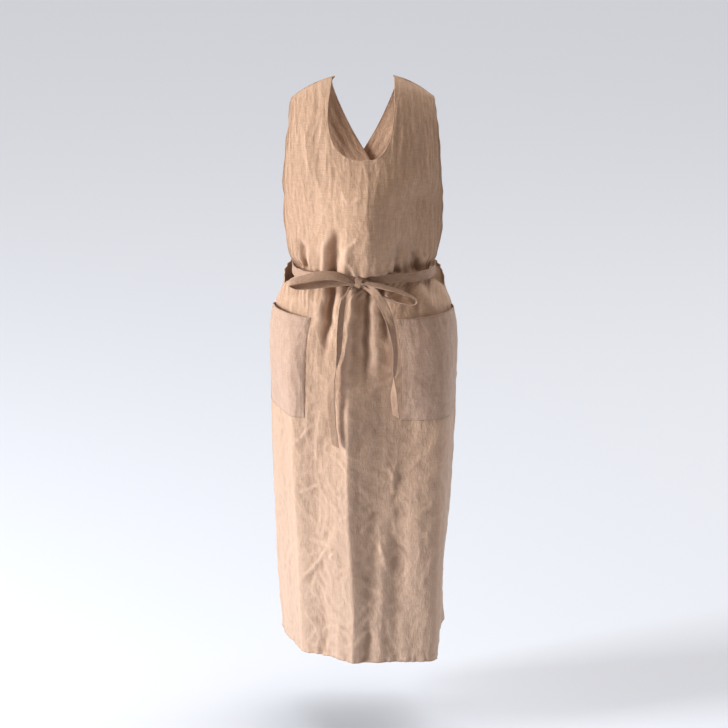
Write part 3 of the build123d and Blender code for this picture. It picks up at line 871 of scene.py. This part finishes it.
class Pile:
    """Small shapes gathered into one mesh."""

    def __init__(self):
        self.points, self.faces, self.uv, self.count = [], [], [], 0

    def add(self, points, faces, uv):
        self.points.append(points)
        self.uv.append(uv)
        self.faces.extend((np.asarray(faces) + self.count).tolist())
        self.count += len(points)

    def make(self, name):
        points, uv = np.concatenate(self.points), np.concatenate(self.uv)
        return make_object(name, points, self.faces, uv, np.zeros(len(points)))

    def add_roll(self, path, normals, radius=0.85, sides=6):
        """A rounded folded edge along a path."""
        along = unit(np.gradient(path, axis=0))
        aside = unit(np.cross(along, normals))
        up = np.cross(aside, along)
        angles = np.arange(sides) * 2 * math.pi / sides
        rings = path[:, None] + radius * (
            np.cos(angles)[None, :, None] * aside[:, None] + np.sin(angles)[None, :, None] * up[:, None]
        )
        count = len(path)
        index = np.arange(count * sides).reshape(count, sides)
        turned = np.roll(index, -1, axis=1)
        faces = np.stack([index[:-1], index[1:], turned[1:], turned[:-1]], axis=-1).reshape(-1, 4)
        uv = np.column_stack([np.tile(angles, count), np.repeat(run_length(path), sides)])
        self.add(rings.reshape(-1, 3), faces, uv)

    def add_stitches(self, path, normals, length=2.9, pitch=4.1, width=0.75, height=0.42):
        """Running stitches along a path on the outside of the cloth."""
        run = run_length(path)
        starts = np.arange(pitch / 2, run[-1] - length, pitch)
        spots = np.stack([starts, starts + length / 2, starts + length], axis=1)
        at = np.stack([np.interp(spots, run, path[:, k]) for k in range(3)], axis=-1)
        out = unit(np.stack([np.interp(spots[:, 1], run, normals[:, k]) for k in range(3)], axis=-1))
        along = unit(at[:, 2] - at[:, 0])
        aside = np.cross(along, out) * width / 2
        middle = at[:, 1] + out * 0.12
        top, under = middle + out * height, middle - out * 0.2
        shape = np.stack([at[:, 0], middle - aside, at[:, 2], middle + aside, top, under], axis=1)
        faces = [(0, 1, 4), (1, 2, 4), (2, 3, 4), (3, 0, 4), (1, 0, 5), (2, 1, 5), (3, 2, 5), (0, 3, 5)]
        base = (np.arange(len(starts)) * 6)[:, None, None]
        triangles = (base + np.array(faces)[None]).reshape(-1, 3)
        if len(starts):
            self.add(shape.reshape(-1, 3), triangles, shape.reshape(-1, 3)[:, [0, 2]])


edges, stitches = Pile(), Pile()


def line_on(place, a, b, lift=0.0):
    """Points and normals along a line on a surface. One of a and b may be a single number."""
    a, b = np.broadcast_arrays(np.asarray(a, float), np.asarray(b, float))
    return place(a, b, lift)


def rolled(place, a, b, pile=edges, radius=0.85):
    """A rolled edge along a line, centred on the cloth's thickness."""
    pile.add_roll(*line_on(place, a, b, -CLOTH / 2), radius=radius)


def stitched(place, a, b):
    """Running stitches along a line on the cloth's face."""
    stitches.add_stitches(*line_on(place, a, b))


edges.add_roll(*neck_place(0.2, -CLOTH / 2))
stitches.add_stitches(*neck_place(7.2, 0.02))
bib_s = np.linspace(1, s_at(NOTCH_Z), 260)
skirt_s = np.linspace(s_at(NOTCH_Z), FRONT_LENGTH - 1, 320)
for side, sign in SIDES:
    rolled(front_place, bib_s, sign * 0.999)
    stitched(front_place, bib_s, sign * 0.968)
    stitched(front_place, skirt_s, sign * 0.983)
    place = BACK_PLACES[side]
    end_u = sign * (2 + BACK_OVERLAP)
    rolled(place, np.linspace(-NOTCH_Z + 4, -HEM_Z - 1, 320), sign * 1.004)
    free_edge = np.linspace(382, -HEM_Z - 1, 320)
    rolled(place, free_edge, end_u - sign * 0.002)
    stitched(place, free_edge, end_u - sign * 0.036)
    round_u = np.linspace(sign * 1.01, end_u, 200)
    rolled(place, -HEM_Z, round_u)
    stitched(place, -HEM_Z - HEM_DEPTH + 2, round_u)
    top_depth = back_top_depth(round_u)
    rolled(place, top_depth + 0.4, round_u)
    stitched(place, top_depth + 8, round_u)
across_u = np.linspace(-0.998, 0.998, 300)
rolled(front_place, FRONT_LENGTH - 0.2, across_u)
stitched(front_place, FRONT_LENGTH - HEM_DEPTH + 2, across_u)

# ---------------------------------------------------------------- pockets


def pocket_place(side, sign):
    inner, outer = POCKET_INNER_U[side], POCKET_OUTER_U
    bottom_s, top_s = POCKET_BOTTOM_S, POCKET_TOP_S

    def place(s, u, lift=0.0):
        share = np.clip((np.abs(u) - inner) / (outer - inner), 0, 1)
        open_share = np.clip((bottom_s - s) / (bottom_s - top_s), 0, 1)
        base, normal = FRONT.at(s, u), FRONT.normal(s, u)
        across = np.abs(u) * POCKET_GIRTH
        hold = np.sin(math.pi * share) ** 0.6 * ease((bottom_s - s) / 30)
        gap = 10 * open_share**0.8 * np.sin(math.pi * share**1.15) ** 0.8
        gap *= 1.0 + 0.10 * wave_noise(across / 40, s / 90, 91)
        own = 0.9 + 1.6 * hold * crumple(across / 15, s / 70, 92 + (sign > 0))
        own += 1.4 * hold * crumple(across / 44, s / 50, 95 + (sign > 0))
        beneath = front_relief(s, u, base) * (1 - 0.35 * open_share * hold)
        return base + normal * (beneath + own + gap + lift)[:, None], normal

    return place


for side, sign in SIDES:
    place = pocket_place(side, sign)
    bottom_s, top_s = POCKET_BOTTOM_S, POCKET_TOP_S
    inner, outer = POCKET_INNER_U[side], POCKET_OUTER_U
    rows, columns = np.linspace(top_s, bottom_s, 80), columns_between(sign, inner, outer, 66)

    # Painted shade in the pocket's crumple hollows, with paler ridges from wear and painted highlight
    def pocket_tone(s, u):
        return 0.5 * np.clip(2 * crumple(np.abs(u) * 16, s / 70, 92) - 0.9, -1, 1)

    piece = patch(f"pocket_{side}_cloth", place, rows, columns, girth=POCKET_GIRTH, tone=pocket_tone)
    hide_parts(f"pocket_{side}")
    dress(piece, POCKET_LINEN_SHADED)
    hem_columns = columns[3:-3]
    hem_rows = np.linspace(top_s + 0.2, top_s + 20, 8)
    hem = patch(f"pocket_{side}_hem", place, hem_rows, hem_columns, lift=-CLOTH - 0.15)
    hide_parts(f"pocket_hem_{side}")
    dress(hem, POCKET_LINEN_SHADED)

    down, line_u = np.linspace(top_s, bottom_s, 120), np.linspace(sign * inner, sign * outer, 120)
    edge_pile = Pile()
    rolled(place, top_s, line_u, edge_pile, radius=1.0)
    rolled(place, down, sign * (inner + 0.001), edge_pile)
    rolled(place, down, sign * (outer - 0.001), edge_pile)
    rolled(place, bottom_s, line_u, edge_pile)
    dress(edge_pile.make(f"pocket_{side}_edges"), POCKET_LINEN_SHADED)
    for inset in (2.2, 6.6):
        stitched(place, down, sign * (inner + inset / POCKET_GIRTH))
    stitched(place, down, sign * (outer - 0.012))
    stitched(place, bottom_s - 2.5, line_u)
    stitched(place, top_s + 18, line_u)

# Bar tacks at the pockets' top corners
tacks = Pile()
for side, sign in SIDES:
    place = pocket_place(side, sign)
    for corner in (POCKET_INNER_U[side] + 0.018, POCKET_OUTER_U - 0.018):
        for i in range(12):
            u = sign * corner + np.array([-0.006, 0.0, 0.006])
            tacks.add_roll(*line_on(place, POCKET_TOP_S + 2.0 + 0.9 * i, u, 0.25), radius=0.42, sides=5)
piece = tacks.make("pocket_bar_tacks")
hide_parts("pocket_tacks")
dress(piece, THREAD)

# ---------------------------------------------------------------- back straps
STRAP_LINE = [
    # x, y and z of the middle of the wearer's left strap, then how its width leans in y and in z
    (102.0, 12.5, -16.0, 0.0, -0.50),
    (99.0, 45.0, -32.0, -0.05, -0.45),
    (87.0, 76.0, -76.0, -0.25, -0.28),
    (60.0, 97.0, -140.0, -0.20, -0.08),
    (20.0, 108.0, -212.0, -0.05, 0.12),
    (-22.0, 113.0, -285.0, 0.08, 0.22),
    (-51.0, 116.5, -345.0, 0.14, 0.12),
    (-62.0, 116.5, -392.0, 0.16, 0.0),
]
STRAP_LAYERS = {"left": 6.0, "right": 0.0}


def strap_surface(sign, layer):
    """A strap's worn shape: rows along it, columns across it from -1 to 1."""
    widths = np.linspace(-1, 1, 9)
    rows = []
    shoulder = FRONT.at(np.zeros(400), np.linspace(-1, 1, 400))
    order = np.argsort(shoulder[:, 0])
    for i, (x, y, z, lean_y, lean_z) in enumerate(STRAP_LINE):
        before, after = STRAP_LINE[max(i - 1, 0)], STRAP_LINE[min(i + 1, len(STRAP_LINE) - 1)]
        along = np.array(after[:3]) - np.array(before[:3]) if i else np.array([0, 1.0, 0])
        across = np.array([1, lean_y, lean_z])
        across = unit(across - along * (across @ along) / (along @ along))
        lift = layer * min(1.0, i / 2, (len(STRAP_LINE) - 1 - i) / 2)
        row = np.array([x, y + lift, z]) + np.outer(widths, across) * STRAP_WIDTH / 2
        row[:, 0] *= sign
        if i == 0:  # the strap starts along the front panel's whole shoulder edge
            row[:, 0] = sign * (98.5 + 40.5 * widths)
            row[:, 1] = SHOULDER_Y
            row[:, 2] = np.interp(row[:, 0], shoulder[order, 0], shoulder[order, 2])
        rows.append(row)
    return Surface(run_length(np.array(STRAP_LINE)[:, :3]), widths, rows)


def strap_place(side, sign):
    surface = strap_surface(sign, STRAP_LAYERS[side])
    length = surface.rows[-1]

    def place(s, w, lift=0.0):
        base = surface.at(s, w)
        down = surface.at(s + 1, w) - surface.at(s - 1, w)
        across = surface.at(s, w + 0.02) - surface.at(s, w - 0.02)
        normal = unit(np.cross(across, down)) * sign
        away = ease(s / 25) * ease((length - s) / 30)
        relief = 1.2 * wave_noise(w * 3.2, s / 70, 101) + 1.3 * (crumple(w * 3.4, s / 80, 102) - 0.45)
        relief += 0.5 * (crumple(w * 6, s / 24, 103) - 0.45)
        return base + normal * (relief * away + lift)[:, None], normal

    return place, length


for side, sign in SIDES:
    place, length = strap_place(side, sign)
    rows, columns = np.linspace(0, length, 150), np.linspace(-1, 1, 27)
    a, b = np.repeat(rows, 27), np.tile(columns, 150)
    points, _ = place(a, b)
    faces = grid_faces(150, 27)
    faces = faces[:, ::-1] if sign > 0 else faces
    uv = np.column_stack([b * STRAP_WIDTH / 2, a])
    # Painted shade in the strap's crumple hollows, with paler ridges from wear and painted highlight
    tone = 0.5 * np.clip(2 * crumple(b * 3.4, a / 80, 102) - 0.9, -1, 1)
    piece = thicken(make_object(f"back_{side}_strap_cloth", points, faces, uv, tone), CLOTH)
    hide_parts(f"back_strap_{side}")
    dress(piece, LINEN)
    for w in (-1, 1):
        rolled(place, rows, w * 0.995)
        stitched(place, rows, w * 0.83)
    edges.add_roll(*line_on(place, 0.0, np.linspace(-1, 1, 40)), radius=1.1)
    for s in (4.0, length - 4, length - 16):
        stitched(place, s, np.linspace(-0.9, 0.9, 40))

# Joins under the shoulders, and the box stitching where the straps end
seams, boxes = Pile(), Pile()
for side, sign in SIDES:
    place, length = strap_place(side, sign)
    for s in (1.0, 4.5):
        seams.add_roll(*line_on(place, s, np.linspace(-0.93, 0.93, 40), -CLOTH - 0.5), radius=0.9)
    for start, end in (((-0.8, 6), (0.8, 14)), ((0.8, 6), (-0.8, 14))):
        w, s = np.linspace(start[0], end[0], 40), length - np.linspace(start[1], end[1], 40)
        boxes.add_stitches(*place(s, w))
piece = seams.make("shoulder_joins")
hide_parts("shoulder_seams")
dress(piece, LINEN)
piece = boxes.make("strap_box_stitching")
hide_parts("strap_tacks")
dress(piece, THREAD)

dress(edges.make("rolled_edges"), LINEN)
dress(stitches.make("running_stitches"), THREAD)

# ---------------------------------------------------------------- waist tie and bow


def ribbon(name, line, across, seed, thickness=1.1, step=2.4, wrinkle=1.0):
    """A flat sewn tie. line is its middle and across its half width as a vector, point by point."""
    line, across = np.asarray(line, float), np.asarray(across, float)
    knots = run_length(line)
    t = np.linspace(0, knots[-1], int(knots[-1] / step) + 2)
    middle, half = smooth_line(knots, line, t), smooth_line(knots, across, t)
    normal = unit(np.cross(np.gradient(middle, axis=0), half))
    w = np.linspace(-1, 1, 13)
    tt, ww = np.repeat(t, len(w)), np.tile(w, len(t))
    edge = np.abs(ww)
    height = 0.35 * np.exp(-(((edge - 0.92) / 0.09) ** 2)) - 0.3 * np.exp(-(((edge - 0.72) / 0.08) ** 2))
    height += wrinkle * 1.0 * (crumple(tt / 16, ww * 0.9, seed) - 0.45)
    height += wrinkle * 0.6 * (crumple(tt / 34, ww * 1.8, seed + 3) - 0.45)
    height += wrinkle * 0.8 * wave_noise(tt / 28, ww * 0.7, seed + 5)
    slip = 0.6 * wave_noise(tt / 22, tt * 0 + seed, seed + 7)
    points = np.repeat(middle, len(w), axis=0) + np.repeat(half, len(w), axis=0) * ww[:, None]
    points += np.repeat(normal, len(w), axis=0) * height[:, None]
    points += np.repeat(unit(half), len(w), axis=0) * slip[:, None]
    uv = np.column_stack([ww * TIE_WIDTH / 2, tt])
    # The tone paints shade into the tie's grooves and hollows and pales its ridges, as wear and painted
    # highlight
    piece = make_object(name, points, grid_faces(len(t), len(w)), uv, tone_of(height, 1.5))
    return thicken(piece, thickness)


def oval_point(u, size=(143.0, 101.5, 90.0), power=2.4):
    """The point at u on the tie's path round the waist."""
    angle = abs(u) * math.pi / 2
    x = size[0] * abs(math.sin(angle)) ** (2 / power)
    y = (size[1] if abs(u) <= 1 else size[2]) * abs(math.cos(angle)) ** (2 / power)
    return math.copysign(x, u), (-y if abs(u) <= 1 else y)


ties = {}
for side, sign in SIDES:
    start = 0.03 if side == "left" else 0.2
    places = [sign * (start + (1.93 - start) * i / 22) for i in range(23)]
    line, across = [], []
    for i, u in enumerate(places):
        x, y = oval_point(u)
        sag = -380.5 - 4.5 * min(1.0, abs(x) / 110)
        line.append((x, y - 0.6 * (abs(u) < 1), sag + 0.6 * math.sin(2.3 * i)))
        lean = 0.8 * math.sin(1.7 * i + sign)
        across.append((0.0, lean, TIE_WIDTH / 2 - 0.3))
    piece = ribbon(f"waist_{side}_ribbon", line, across, 111 + sign, wrinkle=0.7)
    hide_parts(f"waist_tie_{side}")
    ties[f"waist_{side}"] = dress(piece, TIE_LINEN_SHADED)

# Loops of the bow: middle line and half width
LOOPS = {
    "left": (
        [(-6, -118, -387), (8, -121, -388), (34, -125, -392), (66, -127, -401)]
        + [(92, -126, -412), (104, -124, -421)]
        + [(99, -120, -431), (76, -118, -429), (44, -117, -418), (18, -116, -405), (-6, -116, -391)],
        [(0, -3, -2), (0, -5, -3), (0, -8, -3), (1, -9, -2), (2, -9.5, -1), (1, -10, 0)]
        + [(0, -9.5, 2), (0, -9, 3), (0, -8, 4), (0, -5, 3), (0, -3, 2)],
    ),
    "right": (
        [(-18, -118, -385), (-32, -121, -379), (-56, -124, -371), (-84, -126, -370), (-117, -127, -376)]
        + [(-144, -125, -384), (-148, -121, -390), (-134, -118, -394)]
        + [(-90, -117, -391), (-48, -117, -387), (-18, -116, -388)],
        [(0, -3, -3), (0, -4, -6), (0, -4, -8), (0, -5, -8), (1, -7, -6)]
        + [(1, -9, -3), (0, -9.5, 0), (0, -8, -4), (0, -6, -6), (0, -4, -6), (0, -3, -3)],
    ),
}
for side, (line, across) in LOOPS.items():
    piece = ribbon(f"bow_{side}_loop", line, across, 121 if side == "left" else 131, wrinkle=0.8)
    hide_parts(f"bow_loop_{side}")
    ties[f"loop_{side}"] = dress(piece, TIE_LINEN_SHADED, body=f"loop_{side}")

# Tails of the bow, each turned over once on its way down
TAILS = {
    "left": (
        [(-6, -113, -391), (14, -121, -400), (31, -131, -418), (45, -138, -444), (56, -145, -478)]
        + [(62, -150, -520), (61, -152, -560), (60, -153, -584), (60, -154, -612), (64, -155, -652)],
        [(3, 0, 4), (4, -1, 7), (7, 2, 5), (8, 1, 3), (6.5, 4, 1), (4.5, 5, 0)]
        + [(3.5, 6, 0), (-2, 7, 0), (-6.5, 3.5, 1), (-6.5, 3, 3)],
    ),
    "right": (
        [(-18, -113, -391), (-31, -119, -400), (-40, -129, -416), (-45, -137, -446), (-48, -143, -482)]
        + [(-50, -147, -522), (-54, -149, -550), (-62, -151, -576)]
        + [(-65, -153, -620), (-63, -155, -670), (-57, -156, -714)],
        [(3, 0, 4), (3, -1, 6), (5, 3, 3), (6, 4, 1), (5.5, 5, 0), (4.5, 6, 0)]
        + [(1.5, 7, 0), (-5, 5, 0), (-7.5, 3, 0), (-7.5, 3, 0.5), (-7, 3, 3)],
    ),
}
for side, (line, across) in TAILS.items():
    piece = ribbon(f"bow_{side}_tail", line, across, 141 if side == "left" else 151, wrinkle=0.9)
    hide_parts(f"tie_end_{side}", f"tie_tail_{side}")
    dress(piece, TIE_LINEN_SHADED, body=None)
    ties[f"tail_{side}"] = piece

# Knot: a small lump of gathered tie with one turn wrapped over it
KNOT = np.array([-12.0, -111.0, -386.0])
phi, theta = np.meshgrid(np.linspace(0, math.pi, 21), np.linspace(0, 2 * math.pi, 33), indexing="ij")
phi, theta = phi.ravel(), theta.ravel()
ball = np.column_stack([np.sin(phi) * np.cos(theta), np.sin(phi) * np.sin(theta), np.cos(phi)])
lump = np.sign(ball) * np.abs(ball) ** 0.9 * (11.5, 8, 9.5)
grooves = 1 + 0.10 * np.sin(ball[:, 0] * 9 + ball[:, 2] * 4) * np.sin(phi)
knot_points = KNOT + lump * grooves[:, None]
knot_faces = grid_faces(21, 33)[:, ::-1]
# The tone paints shade into the knot's grooves and pales its bulges as painted highlight
knot = make_object("bow_knot_lump", knot_points, knot_faces, lump[:, [0, 2]], grooves * 4 - 4)
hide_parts("bow_knot")
dress(knot, TIE_LINEN_SHADED)
turns = np.linspace(-0.6 * math.pi, 0.6 * math.pi, 13)
wrap_line = [KNOT + (1.0 + 4.0 * math.sin(a), -9.4 * math.cos(a) + 0.6, 11.0 * math.sin(a)) for a in turns]
wrap_across = [(6.4 - 1.4 * abs(math.sin(a)), 0.0, -2.6) for a in turns]
dress(ribbon("bow_knot_wrap", wrap_line, wrap_across, 161, step=1.5, wrinkle=0.7), TIE_LINEN_SHADED)

# The tie's ends, sewn down inside the back panels
for side, sign in SIDES:
    line = [(sign * x, y, WAIST_Z) for x, y in ((24, 90), (16, 92), (8, 93.5), (3, 94))]
    piece = ribbon(f"tie_anchor_{side}", line, [(0, 0, 8)] * 4, 171, thickness=2.0)
    if side == "left":
        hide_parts("tie_anchors")
    dress(piece, THREAD)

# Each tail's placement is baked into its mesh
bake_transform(ties["tail_left"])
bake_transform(ties["tail_right"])

# ---------------------------------------------------------------- camera, light and backdrop


def look_from(location, pitch, lens):
    camera = bpy.data.objects.new("camera", bpy.data.cameras.new("camera"))
    camera.data.lens = lens
    camera.data.sensor_width = 36.0
    camera.data.clip_end = 60
    camera.location = location
    camera.rotation_euler = (math.pi / 2 - pitch, 0, 0)
    bpy.context.scene.collection.objects.link(camera)
    bpy.context.scene.camera = camera


def area_light(name, location, target, size, power, colour=(1, 1, 1)):
    light = bpy.data.lights.new(name, "AREA")
    light.shape = "RECTANGLE"
    light.size, light.size_y = size
    light.energy = power
    light.color = colour
    lamp = bpy.data.objects.new(name, light)
    lamp.location = location
    aim = Vector(target) - Vector(location)
    lamp.rotation_euler = aim.to_track_quat("-Z", "Y").to_euler()
    bpy.context.scene.collection.objects.link(lamp)


def backdrop_material():
    material = bpy.data.materials.new("pale_backdrop")
    material.use_nodes = True
    shader = material.node_tree.nodes["Principled BSDF"]
    set_inputs(shader, Base_Color=(0.66, 0.69, 0.75, 1), Roughness=0.9, Specular_IOR_Level=0.1)
    return material


def floor(level, radius=40.0, sides=64):
    """A plain pale floor, wide enough to fill the view."""
    turns = [2 * math.pi * i / sides for i in range(sides)]
    points = [(radius * math.cos(a) / MM, radius * math.sin(a) / MM, level / MM) for a in turns]
    ground = make_object("floor", points, [range(sides)])
    ground.data.materials.append(backdrop_material())
    ground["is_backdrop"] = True


CAMERA_HEIGHT, CAMERA_DISTANCE, CAMERA_PITCH = 1.534, 7.0, math.radians(16.88)
look_from((0, -CAMERA_DISTANCE, CAMERA_HEIGHT), CAMERA_PITCH, 178.8)
floor(level=cad_box[0][2] - 0.17)
area_light("window", (-4.7, -1.5, 0.55), (0, 0, -0.6), (1.4, 2.2), 385, (0.955, 0.98, 1.0))
area_light("wall_bounce", (4.0, 2.2, 0.6), (0, 0, -0.5), (2.5, 3.0), 40, (1.0, 0.93, 0.85))
ceiling = bpy.data.objects.new("ceiling", bpy.data.lights.new("ceiling", "SUN"))
ceiling.data.energy = 2.3
ceiling.data.angle = math.radians(70)
ceiling.data.color = (1.0, 0.985, 0.975)
ceiling.rotation_euler = (math.radians(-20), math.radians(8), 0)
bpy.context.scene.collection.objects.link(ceiling)
world = bpy.data.worlds.new("room")
world.use_nodes = True
world.node_tree.nodes["Background"].inputs["Color"].default_value = (1.0, 0.92, 0.86, 1)
world.node_tree.nodes["Background"].inputs["Strength"].default_value = 0.22
bpy.context.scene.world = world
bpy.context.scene.view_settings.view_transform = "Standard"

visual_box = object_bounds()
boxes = {
    "cad": [list(map(float, corner)) for corner in cad_box],
    "visual": [list(map(float, corner)) for corner in visual_box],
}
